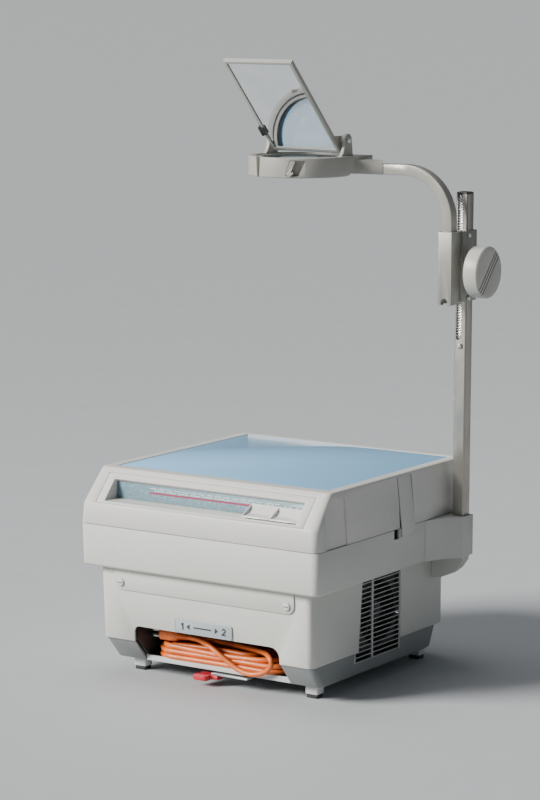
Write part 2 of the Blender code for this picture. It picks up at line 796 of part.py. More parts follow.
def pinion_outline():
    """Gear teeth as (y, z), with a gap between two teeth facing the rack."""
    points = []
    for tooth in range(TEETH):
        centre = 360 / TEETH * (tooth + 0.5)
        for radius, offset in (
            (PITCH_R - 1.15, -0.3),
            (PITCH_R + 0.75, -0.1),
            (PITCH_R + 0.75, 0.1),
            (PITCH_R - 1.15, 0.3),
        ):
            turn = math.radians(centre + offset * 360 / TEETH)
            points.append(
                (KNOB_Y + radius * math.cos(turn), KNOB_Z + radius * math.sin(turn))
            )
    return points


def column_and_rack(at):
    c = 1.6
    (x0, x1), (y0, y1) = COLUMN_X, COLUMN_Y
    section = (
        (x0 + c, y0),
        (x1 - c, y0),
        (x1, y0 + c),
        (x1, y1 - c),
        (x1 - c, y1),
        (x0 + c, y1),
        (x0, y1 - c),
        (x0, y0 + c),
    )
    column = node("column", prism(section, "z", COLUMN_FOOT, COLUMN_TOP), COLUMN, at)
    groove = box(GROOVE_X, (y0 - 1, y0 + GROOVE_DEPTH), (RACK_Z[0] - 2, COLUMN_TOP + 2))
    bore = rod(((x0 + x1) / 2, 111.3, 0), "z", 4.2, COLUMN_FOOT - 2, COLUMN_TOP + 2, 16)
    cut(column, groove, bore)
    rack = prism(rack_outline(), "x", GROOVE_X[0] + GAP, GROOVE_X[1] - GAP)
    node("rack_strip", rack, STEEL, at)
    top = [(px, py, COLUMN_TOP + GAP) for px, py in section]
    lid = [(px, py, COLUMN_TOP + 1.8) for px, py in section]
    middle = Vector(((x0 + x1) / 2, (y0 + y1) / 2, COLUMN_TOP + 2.6))
    crown = [tuple(middle.lerp(Vector((px, py, middle.z)), 0.8)) for px, py in section]
    node("column_cap", loft((top, lid, crown)), BLACK, at)
    stop = ((0, 0), (3.4, 0), (3.4, -1.6), (2.4, -2.6), (0, -2.6))
    node("rack_stop_screw", turned(stop, (182.5, y0 - GAP, 143.4), "y", 16), STEEL, at)

    corbel = [
        (BAND_X + GAP, BRACKET_TOP),
        (193.2, BRACKET_TOP),
        (193.2, -113.0),
        (191.2, -119.4),
        (184.0, -129.0),
        (174.0, -136.6),
        (163.0, -141.4),
        (HOUSING_X + GAP, -143.4),
        (HOUSING_X + GAP, BAND_BOTTOM - GAP),
        (BAND_X + GAP, BAND_BOTTOM - GAP),
    ]
    bracket = node("column_bracket", prism(corbel, "y", 97.0, 113.0), BODY, at)
    upper = (
        (BAND_X + GAP, BRACKET_TOP),
        (193.2, BRACKET_TOP),
        (193.2, -113.0),
        (BAND_X + GAP, -113.0),
    )
    flare = [
        (BAND_X + GAP, 50.0),
        (172.0, 66.0),
        (180.0, 82.0),
        (193.2, 96.0),
        (193.2, 98.0),
        (BAND_X + GAP, 98.0),
    ]
    join(
        bracket,
        prism(upper, "y", 112.0, 120.4),
        prism(flare, "z", -114.0, BRACKET_TOP),
    )
    well = box((x0 - GAP, x1 + GAP), (y0 - GAP, y1 + GAP), (COLUMN_FOOT - 0.4, -50))
    cut(bracket, well)


def carriage(at, knob_at):
    collar = node("collar", box(COLLAR_X, COLLAR_Y, COLLAR_Z), CARRIAGE, at)
    (x0, x1), (y0, y1) = COLUMN_X, COLUMN_Y
    bore = box((x0 - 0.4, x1 + 0.4), (y0 - 0.4, y1 + 0.4), (190, 290))
    room = box((176.0, 186.0), (80, 102), (KNOB_Z - 9.5, KNOB_Z + 9.5))
    axle = rod((180, KNOB_Y, KNOB_Z), "x", 2.9, 0, 20, 16)
    cut(collar, bore, room, axle)
    for name, z in (("collar_screw_top", 277.0), ("collar_screw_bottom", 201.9)):
        head = ((0, 0), (3.2, 0), (3.2, 0.9), (2.4, 1.7), (0, 1.8))
        screw = turned(head, (COLLAR_X[1] + GAP, 99.6, z), "x", 16)
        node(name, screw, STEEL, at)

    socket = node("arm_socket", box(SOCKET_X, SOCKET_Y, SOCKET_Z), CARRIAGE, at)
    half = ARM_THICK / 2 + GAP
    hole = box(
        (ARM_X - half, ARM_X + half), (ARM_Y[0] - GAP, ARM_Y[1] + GAP), (190, 290)
    )
    notch = rod((181.6, 55, SOCKET_Z[0] + 3.0), "y", 4.6, 0, 16, 16)
    cut(socket, hole, notch)

    gear = node("pinion_shaft", prism(pinion_outline(), "x", 178.0, 183.0), STEEL, knob_at)
    join(gear, rod((176.4, KNOB_Y, KNOB_Z), "x", 2.6, 0, 34.6, 16))
    near, far = KNOB_X
    profile = (
        (0, 194.2),
        (9.0, 194.2),
        (9.0, near),
        (KNOB_R - 1.0, near),
        (KNOB_R, near + 1.0),
        (KNOB_R, far - 1.6),
        (KNOB_R - 1.6, far),
        (0, far),
    )
    knob = node("focus_knob", turned(profile, (0, KNOB_Y, KNOB_Z), "x", 48), KNOB, knob_at)
    cut(knob, rod((190, KNOB_Y, KNOB_Z), "x", 2.9, 0, 21.4, 16))
    slant = Matrix.Rotation(math.radians(-42), 3, "X")
    for offset in (-4.7, 0.0, 4.7):
        y = KNOB_Y + offset
        reach = KNOB_R + 1
        groove = box((far - 1.4, far + 1), (y - 0.8, y + 0.8), (KNOB_Z - reach, KNOB_Z + reach))
        cut(knob, turn_geometry(groove, slant, (0, KNOB_Y, KNOB_Z)))


def arm_bar(at):
    """The bar's section carried up, round the bend and along to the head."""
    centre_x = ARM_X - BEND_R
    half, (y0, y1), c = ARM_THICK / 2, ARM_Y, 0.7
    stations = [(ARM_X, 200.0, 0.0)]
    sweep, steps = math.pi / 2 + DROOP, 14
    for i in range(steps + 1):
        turn = sweep * i / steps
        stations.append(
            (
                centre_x + BEND_R * math.cos(turn),
                BEND_Z + BEND_R * math.sin(turn),
                turn,
            )
        )
    x, z, turn = stations[-1]
    stations.append((ARM_END_X, z - (x - ARM_END_X) * math.tan(DROOP), turn))
    rings = []
    for x, z, turn in stations:
        ring = []
        for out, y in (
            (-half + c, y0),
            (half - c, y0),
            (half, y0 + c),
            (half, y1 - c),
            (half - c, y1),
            (-half + c, y1),
            (-half, y1 - c),
            (-half, y0 + c),
        ):
            ring.append((x + out * math.cos(turn), y, z + out * math.sin(turn)))
        rings.append(ring)
    node("arm", loft(rings), ARM, at)


# ---------------------------------------------------------------- head
def radial(angle, across, out, z):
    """A point near the ring's wall: angle round from the front, across it, out from its centre."""
    turn = math.radians(angle)
    x = out * math.sin(turn) + across * math.cos(turn)
    y = RING_Y - out * math.cos(turn) + across * math.sin(turn)
    return x, y, z


def wall_block(angle, corners, inner, outer):
    """A block through the ring's wall from (across, z) corners."""
    near = [radial(angle, across, inner, z) for across, z in corners]
    far = [radial(angle, across, outer, z) for across, z in corners]
    return loft((near, far))


def lens_head(at):
    low, high = RING_Z
    middle = (0, RING_Y, 0)
    wall = (
        (RING_BORE, low),
        (RING_R - 1, low),
        (RING_R, low + 1),
        (RING_R, high - 0.6),
        (RING_R - 0.6, high),
        (RING_BORE, high),
        (RING_BORE, 354.4),
        (45.0, 354.4),
        (45.0, 351.6),
        (RING_BORE, 351.6),
    )
    web = [
        (50.0, 20.0),
        (60.0, 24.0),
        (61.0, 34.0),
        (63.2, 45.0),
        (68.0, 54.6),
        (77.0, 62.6),
        (92.0, 68.4),
        (40.0, 68.4),
        (44.0, 55.0),
    ]
    shelf = [
        *web[:4],
        (66.4, 53.0),
        (67.4, 60.0),
        (67.4, 85.0),
        (-40.0, 85.0),
        (-58.0, 62.0),
        (-58.0, 30.0),
        (-50.0, 30.0),
    ]
    rear = ((20, 66.0), (43.4, 66.0), (43.4, 84.6), (20, 84.6))
    head = node("lens_head", prism(shelf, "z", 361.4, high - 0.4), HEAD, at)
    join(head, prism(web, "z", 347.6, 364.0), prism(rear, "z", 347.6, 364.0))
    cut(head, rod(middle, "z", RING_BORE + 3, 335, 380, 48))
    join(head, turned(wall, middle, "z", 64))
    cut(head, box((43.6, 110), (ARM_Y[0] - GAP, 90), (340, 361.2)))
    y, z = MIRROR_HINGE
    for x in ((-55.8, -51.6), (51.6, 55.8)):
        lug = [
            (31.0, high - 1),
            (36.5, high + 3.4),
            (39.6, high + 10.0),
            *arc((y, z), 8.0, 168, 8, 7),
            (58.4, high + 2.0),
            (59.0, high - 1),
        ]
        join(head, prism(lug, "x", *x))
    cut(head, rod((0, y, z), "x", 2.5, -70, 70, 12))
    cut(head, wall_block(-21.0, ((-4.4, 371), (4.4, 371), (2.4, 342), (-1.0, 342)), 56.0, 68))
    opening = ((-3.5, 365.4), (15.5, 365.4), (7.0, 347.2), (-9.5, 347.2))
    cut(head, wall_block(25.0, opening, 56, 68))

    glass = (
        (0, 354.7),
        (38, 354.7),
        (50.4, 356.2),
        (50.4, 358.6),
        (40, 362.6),
        (22, 366.0),
        (0, 367.2),
    )
    node("objective_lens", turned(glass, middle, "z", 48), GLASS, at, smooth=True)
    clamp = (
        (50.8, 359.4),
        (52.2, 359.4),
        (52.2, 367.0),
        (47.2, 367.0),
        (47.2, 365.8),
        (50.8, 365.8),
    )
    node("lens_ring", turned(clamp, middle, "z", 48), HEAD, at)
    bar = ((-8.6, 347.8), (-3.0, 347.8), (3.6, 364.8), (-2.6, 364.8))
    lock = node("lens_lock", wall_block(25.0, bar, 56.5, 62.8), HEAD, at)
    hook = ((-7.0, 349.4), (-4.4, 345.2), (1.8, 350.6), (0.4, 352.2), (-3.0, 349.6))
    join(lock, wall_block(25.0, hook, 61.8, 63.6))
    pin = ((0, -57.0), (1.9, -57.0), (1.9, 56.1), (4.2, 56.1), (4.2, 57.2), (3.2, 58.0), (0, 58.0))
    node("mirror_hinge_pin", turned(pin, (0, y, z), "x", 16), STEEL, at)


def mirror(at):
    """Built flat under the hinge axis, reaching forward with its face down, then turned up to its rest angle."""
    y, z = MIRROR_HINGE
    plane = z - MIRROR_DROP
    tilt = Matrix.Rotation(-MIRROR_ANGLE, 3, "X")

    def placed(shape):
        return turn_geometry(shape, tilt, (0, y, z))

    def slab(x, along, up):
        return box(x, (y - along[1], y - along[0]), (plane + up[0], plane + up[1]))

    half, foot, head = MIRROR_HALF, MIRROR_FOOT, MIRROR_LONG
    frame = node("mirror_frame", placed(slab((-half, half), (foot, head), (-3.2, 2.4))), HEAD, at)
    bracket = [
        (y - 18.0, plane + 1),
        (y - 14.0, plane + 5),
        *arc((y, z), 5.2, 150, -10, 6),
        (y + 6.4, plane + 1),
    ]
    for x in ((-half, -half + 3.8), (half - 3.8, half)):
        join(frame, placed(prism(bracket, "x", *x)))
    join(frame, rod((0, y, z), "x", 5.2, -51.2, -43.0, 16), rod((0, y, z), "x", 5.2, 43.0, 51.2, 16))
    window = slab((-half + 3.6, half - 3.6), (foot + 5.0, head - 3.6), (-6, 0))
    pocket = slab((-half + 2.0, half - 2.0), (foot + 3.0, head - 2.0), (-2.2, 1.2))
    cut(frame, placed(window), placed(pocket))
    cut(frame, rod((0, y, z), "x", 2.3, -60, 60, 12))
    face = slab((-half + 2.3, half - 2.3), (foot + 3.3, head - 2.3), (-1.9, 0.6))
    node("mirror_glass", placed(face), MIRROR, at)
    clip = slab((-half - 2.8, -half - GAP), (20.0, 35.0), (-5.4, 4.6))
    clip = node("mirror_clip", placed(clip), BLACK, at)
    jaws = (
        slab((-half - 2.8, -half + 4.4), (21.0, 34.0), (-5.0, -3.5)),
        slab((-half - 2.8, -half + 4.4), (21.0, 34.0), (2.7, 4.2)),
    )
    join(clip, *(placed(jaw) for jaw in jaws))


def build():
    at = joint_empties()
    root, lid, slide = at["root"], at["lid"], at["carriage"]
    stage_lid(lid)
    control_panel(lid)
    rocker_key("rocker_key_left", KEY_ENDS[0], at["left key"])
    rocker_key("rocker_key_right", KEY_ENDS[1], at["right key"])
    latch_tongue(at["latch"])
    band(root)
    lower_housing(root)
    base_pan(root)
    vent_grille(root)
    feet(root)
    cord_bay(root)
    mains_lead(root)
    optics_and_fan(root, at["fan"], at["lamps"])
    column_and_rack(root)
    carriage(slide, at["knob"])
    arm_bar(slide)
    lens_head(slide)
    mirror(at["mirror"])


build()
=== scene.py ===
"""Looks for an overhead projector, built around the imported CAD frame."""

import json
import math

import bmesh
import bpy
from mathutils import Matrix, Vector


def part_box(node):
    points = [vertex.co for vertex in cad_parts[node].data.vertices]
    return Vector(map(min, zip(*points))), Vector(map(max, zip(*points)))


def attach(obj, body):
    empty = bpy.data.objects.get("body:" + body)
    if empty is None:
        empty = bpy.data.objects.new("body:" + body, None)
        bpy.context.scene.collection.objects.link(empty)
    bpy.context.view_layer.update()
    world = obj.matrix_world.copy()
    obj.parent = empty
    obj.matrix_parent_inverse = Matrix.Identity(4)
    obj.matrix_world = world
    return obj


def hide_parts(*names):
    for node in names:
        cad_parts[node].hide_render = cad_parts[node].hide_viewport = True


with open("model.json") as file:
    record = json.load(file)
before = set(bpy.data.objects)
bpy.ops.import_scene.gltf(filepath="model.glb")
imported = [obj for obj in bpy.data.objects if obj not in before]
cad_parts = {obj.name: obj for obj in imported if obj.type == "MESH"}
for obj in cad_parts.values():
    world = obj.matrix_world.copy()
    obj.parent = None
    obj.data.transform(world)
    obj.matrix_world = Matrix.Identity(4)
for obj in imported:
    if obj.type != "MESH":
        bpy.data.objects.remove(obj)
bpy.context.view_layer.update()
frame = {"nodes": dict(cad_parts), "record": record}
NODES = frame["nodes"]
MM = 0.001

# The stage frame: millimetres from the middle of the glass, x right, y back, z up.
GLASS_LOW, GLASS_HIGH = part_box("stage_glass")
STAGE = Vector(
    (
        (GLASS_LOW.x + GLASS_HIGH.x) / 2,
        (GLASS_LOW.y + GLASS_HIGH.y) / 2,
        GLASS_HIGH.z + 0.4 * MM,
    )
)


def place(x, y, z):
    """A point of the stage frame, in metres."""
    return STAGE + Vector((x, y, z)) * MM


# ---------------------------------------------------------------- camera
CAMERA_AT = (1860.64, -2863.87, 592.28)
CAMERA_TURN, CAMERA_DIP, CAMERA_ROLL = 33.33617, 8.625589, 0.233213
LENS, SENSOR = 128.696, 36
FARTHEST = 1000


def make_camera():
    """The photograph's viewpoint: round to the right of the front, tipped down and rolled a little."""
    turn, dip, roll = (math.radians(a) for a in (CAMERA_TURN, CAMERA_DIP, CAMERA_ROLL))
    ahead = Vector(
        (
            -math.sin(turn) * math.cos(dip),
            math.cos(turn) * math.cos(dip),
            -math.sin(dip),
        )
    )
    level = Vector((math.cos(turn), math.sin(turn), 0))
    up = level.cross(ahead)
    across = level * math.cos(roll) + up * math.sin(roll)
    up = up * math.cos(roll) - level * math.sin(roll)
    data = bpy.data.cameras.new("camera")
    data.lens = LENS
    data.sensor_width = SENSOR
    data.clip_end = FARTHEST
    camera = bpy.data.objects.new("camera", data)
    bpy.context.scene.collection.objects.link(camera)
    axes = Matrix((across, up, -ahead)).transposed().to_4x4()
    camera.matrix_world = Matrix.Translation(place(*CAMERA_AT)) @ axes
    bpy.context.scene.camera = camera


make_camera()


# ---------------------------------------------------------------- material kit
class Nodes:
    """A small helper that adds and links shader nodes."""

    def __init__(self, name):
        self.material = bpy.data.materials.new(name)
        self.material.use_nodes = True
        self.tree = self.material.node_tree
        self.shader = self.tree.nodes["Principled BSDF"]
        self.coords = self.add("TexCoord").outputs["Object"]

    def add(self, kind, **settings):
        made = self.tree.nodes.new("ShaderNode" + kind)
        for key, value in settings.items():
            setattr(made, key, value)
        return made

    def link(self, source, target):
        self.tree.links.new(source, target)

    def noise(self, scale, detail=3.0, stretch=None):
        made = self.add("TexNoise")
        made.inputs["Scale"].default_value = scale
        made.inputs["Detail"].default_value = detail
        if stretch:
            mapping = self.add("Mapping")
            mapping.inputs["Scale"].default_value = stretch
            self.link(self.coords, mapping.inputs["Vector"])
            self.link(mapping.outputs[0], made.inputs["Vector"])
        else:
            self.link(self.coords, made.inputs["Vector"])
        return made.outputs["Fac"]

    def ramp(self, source, stops):
        """A colour ramp through (position, colour) stops."""
        made = self.add("ValToRGB")
        ramp = made.color_ramp
        while len(ramp.elements) < len(stops):
            ramp.elements.new(0.5)
        for element, (position, colour) in zip(ramp.elements, stops):
            element.position = position
            element.color = (*colour, 1)
        self.link(source, made.inputs["Fac"])
        return made.outputs["Color"]

    def range(self, source, low, high):
        """The middle of a noise, spread from low to high."""
        made = self.add("MapRange")
        made.inputs["From Min"].default_value = 0.3
        made.inputs["From Max"].default_value = 0.7
        made.inputs["To Min"].default_value = low
        made.inputs["To Max"].default_value = high
        self.link(source, made.inputs["Value"])
        return made.outputs["Result"]

    def bump(self, source, distance, strength=1.0, under=None):
        made = self.add("Bump")
        made.inputs["Strength"].default_value = strength
        made.inputs["Distance"].default_value = distance
        self.link(source, made.inputs["Height"])
        if under:
            self.link(under, made.inputs["Normal"])
        return made.outputs["Normal"]

    def mix(self, factor, low, high):
        """A colour between two, by a fixed share or by a socket."""
        made = self.add("MixRGB")
        if isinstance(factor, float):
            made.inputs["Fac"].default_value = factor
        else:
            self.link(factor, made.inputs["Fac"])
        self.link(low, made.inputs["Color1"])
        self.link(high, made.inputs["Color2"])
        return made.outputs["Color"]


def shade(colour, factor):
    """A colour made darker or lighter, kept within white."""
    return tuple(min(1.0, c * factor) for c in colour)


def moulded(name, colour, roughness=0.5, grain=1500, depth=0.00004, vary=0.06, coat=0.0):
    """Moulded plastic with a fine spark-eroded grain, faint cloudy colour and handling marks."""
    n = Nodes(name)
    cloud = n.noise(7, 4)
    tone = n.ramp(
        cloud, ((0.3, shade(colour, 1 - vary)), (0.7, shade(colour, 1 + vary / 2)))
    )
    specks = n.noise(420, 2)
    fine = n.ramp(specks, ((0.35, shade(colour, 0.93)), (0.65, shade(colour, 1.03))))
    n.link(n.mix(0.4, tone, fine), n.shader.inputs["Base Color"])
    worn = n.range(n.noise(24, 5), roughness - 0.06, roughness + 0.08)
    n.link(worn, n.shader.inputs["Roughness"])
    soft = n.bump(n.noise(16, 2), 0.0006, 0.12)
    n.link(n.bump(n.noise(grain, 2), depth, 0.5, soft), n.shader.inputs["Normal"])
    n.shader.inputs["Coat Weight"].default_value = coat
    n.shader.inputs["Coat Roughness"].default_value = 0.25
    return n.material


def brushed(name, colour, roughness=0.35, metallic=1.0, stretch=(900, 900, 12), depth=0.00003):
    """Drawn or brushed metal, with lines along one axis and a little smudging."""
    n = Nodes(name)
    lines = n.noise(1.0, 4, stretch)
    tone = n.ramp(lines, ((0.3, shade(colour, 0.88)), (0.7, shade(colour, 1.08))))
    smudge = n.ramp(n.noise(14, 4), ((0.35, shade(colour, 0.9)), (0.7, shade(colour, 1.05))))
    n.link(n.mix(0.5, tone, smudge), n.shader.inputs["Base Color"])
    worn = n.range(n.noise(30, 4), roughness - 0.07, roughness + 0.1)
    n.link(worn, n.shader.inputs["Roughness"])
    n.link(n.bump(lines, depth, 0.35), n.shader.inputs["Normal"])
    n.shader.inputs["Metallic"].default_value = metallic
    return n.material


def painted(name, colour, roughness):
    """Stove-enamelled metal with a faint orange peel."""
    n = Nodes(name)
    tone = n.ramp(n.noise(11, 4), ((0.3, shade(colour, 0.93)), (0.7, shade(colour, 1.04))))
    n.link(tone, n.shader.inputs["Base Color"])
    worn = n.range(n.noise(60, 3), roughness - 0.05, roughness + 0.08)
    n.link(worn, n.shader.inputs["Roughness"])
    n.link(n.bump(n.noise(700, 2), 0.00005, 0.35), n.shader.inputs["Normal"])
    n.shader.inputs["Metallic"].default_value = 0.25
    n.shader.inputs["Coat Weight"].default_value = 0.25
    n.shader.inputs["Coat Roughness"].default_value = 0.3
    return n.material


def glassy(name, colour, see_through):
    """Clear or tinted glass with a trace of dust and wiping marks."""
    n = Nodes(name)
    wipe = n.noise(9, 5, (1, 3, 1))
    n.link(
        n.ramp(wipe, ((0.3, shade(colour, 0.96)), (0.75, colour))),
        n.shader.inputs["Base Color"],
    )
    n.link(n.range(wipe, 0.03, 0.08), n.shader.inputs["Roughness"])
    n.shader.inputs["Transmission Weight"].default_value = see_through
    n.shader.inputs["IOR"].default_value = 1.5
    return n.material


def fresnel_sheet():
    """Acrylic with fine circular grooves about the middle of the stage, pale blue partly as painted
    reflection.
    """
    n = Nodes("fresnel_acrylic_tint_and_painted_reflection_look")
    mapping = n.add("Mapping")
    mapping.inputs["Location"].default_value = -STAGE
    n.link(n.coords, mapping.inputs["Vector"])
    rings = n.add("TexWave", wave_type="RINGS", rings_direction="Z", wave_profile="SAW")
    rings.inputs["Scale"].default_value = 170
    n.link(mapping.outputs[0], rings.inputs["Vector"])
    n.link(n.bump(rings.outputs["Fac"], 0.0002, 0.5), n.shader.inputs["Normal"])
    # The blue is partly the sheet's own tint and partly painted reflection of a blue backdrop.
    tone = n.ramp(rings.outputs["Fac"], ((0.0, (0.40, 0.66, 0.88)), (1.0, (0.52, 0.78, 0.97))))
    n.link(tone, n.shader.inputs["Base Color"])
    n.link(n.range(n.noise(20, 3), 0.12, 0.2), n.shader.inputs["Roughness"])
    n.shader.inputs["Transmission Weight"].default_value = 0.1
    return n.material


def mirror_face():
    """Front-silvered glass with a little dust."""
    n = Nodes("mirror_face_look")
    dust = n.noise(40, 5)
    n.link(
        n.ramp(dust, ((0.4, (0.86, 0.9, 0.94)), (0.75, (0.93, 0.95, 0.97)))),
        n.shader.inputs["Base Color"],
    )
    n.link(n.range(dust, 0.015, 0.05), n.shader.inputs["Roughness"])
    n.shader.inputs["Metallic"].default_value = 1.0
    return n.material


def speckled_film():
    """Printed film of the control label: blue-grey, with a fine light speckle."""
    n = Nodes("label_film_look")
    dots = n.add("TexVoronoi")
    dots.inputs["Scale"].default_value = 520
    n.link(n.coords, dots.inputs["Vector"])
    speck = n.ramp(
        dots.outputs["Distance"], ((0.15, (0.5, 0.62, 0.68)), (0.42, (0.14, 0.23, 0.28)))
    )
    cloud = n.ramp(n.noise(18, 3), ((0.35, (0.17, 0.29, 0.36)), (0.7, (0.27, 0.41, 0.48))))
    n.link(n.mix(0.6, cloud, speck), n.shader.inputs["Base Color"])
    n.link(n.range(n.noise(300, 2), 0.34, 0.46), n.shader.inputs["Roughness"])
    n.link(n.bump(n.noise(1800, 2), 0.00003, 0.4), n.shader.inputs["Normal"])
    return n.material


def cable_jacket(colour):
    """Soft PVC jacket: a slow wobble of tone, scuffs and a faint cord texture."""
    n = Nodes("orange_cord_look")
    tone = n.ramp(n.noise(38, 4), ((0.3, shade(colour, 0.82)), (0.7, shade(colour, 1.12))))
    n.link(tone, n.shader.inputs["Base Color"])
    n.link(n.range(n.noise(120, 4), 0.3, 0.5), n.shader.inputs["Roughness"])
    soft = n.bump(n.noise(180, 2), 0.0002, 0.3)
    n.link(n.bump(n.noise(1400, 2), 0.00004, 0.4, soft), n.shader.inputs["Normal"])
    n.shader.inputs["Subsurface Weight"].default_value = 0.05
    n.shader.inputs["Subsurface Scale"].default_value = 0.002
    n.shader.inputs["Coat Weight"].default_value = 0.15
    n.shader.inputs["Coat Roughness"].default_value = 0.3
    return n.material


# Behind LIP_BACK or above LIP_TOP the tray is painted near-black as the shade deep in the cord bay,
# blended over LIP_FADE millimetres.
LIP_BACK, LIP_TOP, LIP_FADE = -144.9, -224.4, 0.5


def tray_plastic():
    """Pale lip, with the inside of the bay painted near-black as shade, parted just behind and above the
    lip.
    """
    n = Nodes("tray_plastic_painted_shade_look")
    split = n.add("SeparateXYZ")
    n.link(n.coords, split.inputs[0])
    lip = place(0, LIP_BACK, LIP_TOP)
    edges = []
    for axis, start in (("Y", lip.y), ("Z", lip.z)):
        edge = n.add("MapRange")
        edge.inputs["From Min"].default_value = start
        edge.inputs["From Max"].default_value = start + LIP_FADE * MM
        n.link(split.outputs[axis], edge.inputs["Value"])
        edges.append(edge.outputs["Result"])
    inside = n.add("Math", operation="MAXIMUM")
    n.link(edges[0], inside.inputs[0])
    n.link(edges[1], inside.inputs[1])
    pale = n.ramp(n.noise(12, 4), ((0.3, (0.56, 0.58, 0.575)), (0.7, (0.64, 0.655, 0.65))))
    # Painted shade: the near-black of the bay's inside.
    dark = n.ramp(n.noise(30, 3), ((0.3, (0.02, 0.021, 0.022)), (0.7, (0.04, 0.041, 0.042))))
    n.link(n.mix(inside.outputs[0], pale, dark), n.shader.inputs["Base Color"])
    n.link(n.range(n.noise(24, 5), 0.42, 0.56), n.shader.inputs["Roughness"])
    n.link(n.bump(n.noise(1500, 2), 0.00004, 0.5), n.shader.inputs["Normal"])
    return n.material


# Looks by material slot, or by node where one node has its own.
LOOKS = {
    "body_plastic": moulded("body_plastic_look", (0.60, 0.60, 0.565), 0.5),
    "lid_plastic": moulded("lid_plastic_look", (0.62, 0.615, 0.58), 0.48),
    "panel_plastic": moulded("panel_plastic_look", (0.66, 0.655, 0.62), 0.42, vary=0.04),
    "label_film": speckled_film(),
    "key_plastic": moulded("key_plastic_look", (0.78, 0.77, 0.74), 0.34, depth=0.00002, coat=0.2),
    "pan_plastic": moulded("pan_plastic_look", (0.21, 0.225, 0.225), 0.55),
    "tray_plastic": tray_plastic(),
    "grille_plastic": moulded("grille_plastic_look", (0.47, 0.48, 0.46), 0.5),
    "column_metal": brushed("column_metal_look", (0.40, 0.385, 0.345), 0.36, 0.85),
    "arm_metal": painted("arm_metal_look", (0.33, 0.32, 0.285), 0.34),
    "carriage_metal": painted("carriage_metal_look", (0.29, 0.285, 0.255), 0.36),
    "head_plastic": moulded("head_plastic_look", (0.37, 0.36, 0.325), 0.36),
    "knob_plastic": moulded("knob_plastic_look", (0.46, 0.45, 0.41), 0.4, vary=0.04),
    "bright_steel": brushed("bright_steel_look", (0.62, 0.62, 0.61), 0.28, 1.0, (60, 60, 900)),
    "black_plastic": moulded("black_plastic_look", (0.022, 0.022, 0.024), 0.42),
    "clear_glass": glassy("clear_glass_look", (0.80, 0.92, 1.0), 0.85),
    # The stage glass's pale blue is partly its own tint and partly painted reflection of a blue backdrop;
    # it lets little light through.
    "stage_glass": glassy("stage_glass_tint_and_painted_reflection_look", (0.36, 0.68, 1.0), 0.12),
    "fresnel_acrylic": fresnel_sheet(),
    "mirror_face": mirror_face(),
    "foot_plastic": moulded("foot_plastic_look", (0.70, 0.71, 0.70), 0.45),
    "foot_rubber": moulded("foot_rubber_look", (0.03, 0.03, 0.03), 0.75, depth=0.00008),
    "orange_cord": cable_jacket((0.74, 0.155, 0.025)),
    "red_lever": moulded("red_lever_look", (0.58, 0.012, 0.03), 0.3, vary=0.1, coat=0.3),
    "zinc_plate": brushed("zinc_plate_look", (0.52, 0.54, 0.55), 0.38, 1.0, (40, 700, 40)),
    "transformer_core": brushed("transformer_core_look", (0.14, 0.12, 0.11), 0.5, 0.5, (1, 900, 1)),
    "heat_glass": glassy("heat_glass_look", (0.62, 0.88, 0.78), 0.85),
    "lamp_quartz": glassy("lamp_quartz_look", (0.88, 0.9, 0.9), 0.75),
    "white_ink": moulded("white_ink_look", (0.75, 0.79, 0.8), 0.4, depth=0.00001),
    "red_ink": moulded("red_ink_look", (0.36, 0.035, 0.09), 0.42, vary=0.15, depth=0.00001),
    # Dark print for the sign's figures, and painted shade in the knob's grooves and the screw slots.
    "dark_print_and_painted_shade": moulded("dark_print_and_painted_shade_look", (0.035, 0.037, 0.04), 0.5, depth=0.00001),
    "position_sign": moulded("position_sign_look", (0.40, 0.45, 0.46), 0.4, vary=0.1),
}
SLOT_OF = {part["node"]: part["material_slot"] for part in frame["record"]["subparts"]}


# ---------------------------------------------------------------- mesh helpers
def piece(name, verts, faces, look, body, slot, smooth=False):
    """A mesh piece from points in stage millimetres."""
    mesh = bpy.data.meshes.new(name)
    mesh.from_pydata([place(*v) for v in verts], [], faces)
    work = bmesh.new()
    work.from_mesh(mesh)
    bmesh.ops.recalc_face_normals(work, faces=work.faces)
    work.to_mesh(mesh)
    work.free()
    made = bpy.data.objects.new(name, mesh)
    bpy.context.scene.collection.objects.link(made)
    mesh.materials.append(look)
    if smooth:
        mesh.shade_smooth()
    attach(made, body)
    return made


def soften(made, width):
    """Rounds the sharp edges a little and keeps the broad faces flat in shading."""
    weld = made.modifiers.new("weld", "WELD")
    weld.merge_threshold = 1e-6
    bevel = made.modifiers.new("bevel", "BEVEL")
    bevel.width = width * MM
    bevel.segments = 2
    bevel.limit_method = "ANGLE"
    bevel.angle_limit = math.radians(32)
    bevel.harden_normals = True
    bevel.use_clamp_overlap = True
    made.data.shade_smooth()


def loft(rings):
    """A closed skin over rings that have the same number of points."""
    count = len(rings[0])
    verts = [tuple(p) for ring in rings for p in ring]
    faces = []
    for level in range(len(rings) - 1):
        low = level * count
        for i in range(count):
            j = (i + 1) % count
            faces.append((low + i, low + j, low + count + j, low + count + i))
    faces.append(tuple(range(count)))
    faces.append(tuple(range(len(verts) - count, len(verts))))
    return verts, faces


def together(*shapes):
    """Several shapes as one list of points and one of faces."""
    verts, faces = [], []
    for points, sides in shapes:
        faces += [tuple(i + len(verts) for i in side) for side in sides]
        verts += points
    return verts, faces


def block(x, y, z):
    """A box from its two limits along each axis."""
    corners = ((x[0], y[0]), (x[1], y[0]), (x[1], y[1]), (x[0], y[1]))
    return loft([[(*corner, level) for corner in corners] for level in z])


def stage_box(name):
    """The two corners of a CAD node, in stage millimetres."""
    return tuple((corner - STAGE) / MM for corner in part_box(name))


def circle(count):
    """Cosine and sine of evenly spaced directions round a full turn."""
    turns = (2 * math.pi * i / count for i in range(count))
    return [(math.cos(turn), math.sin(turn)) for turn in turns]


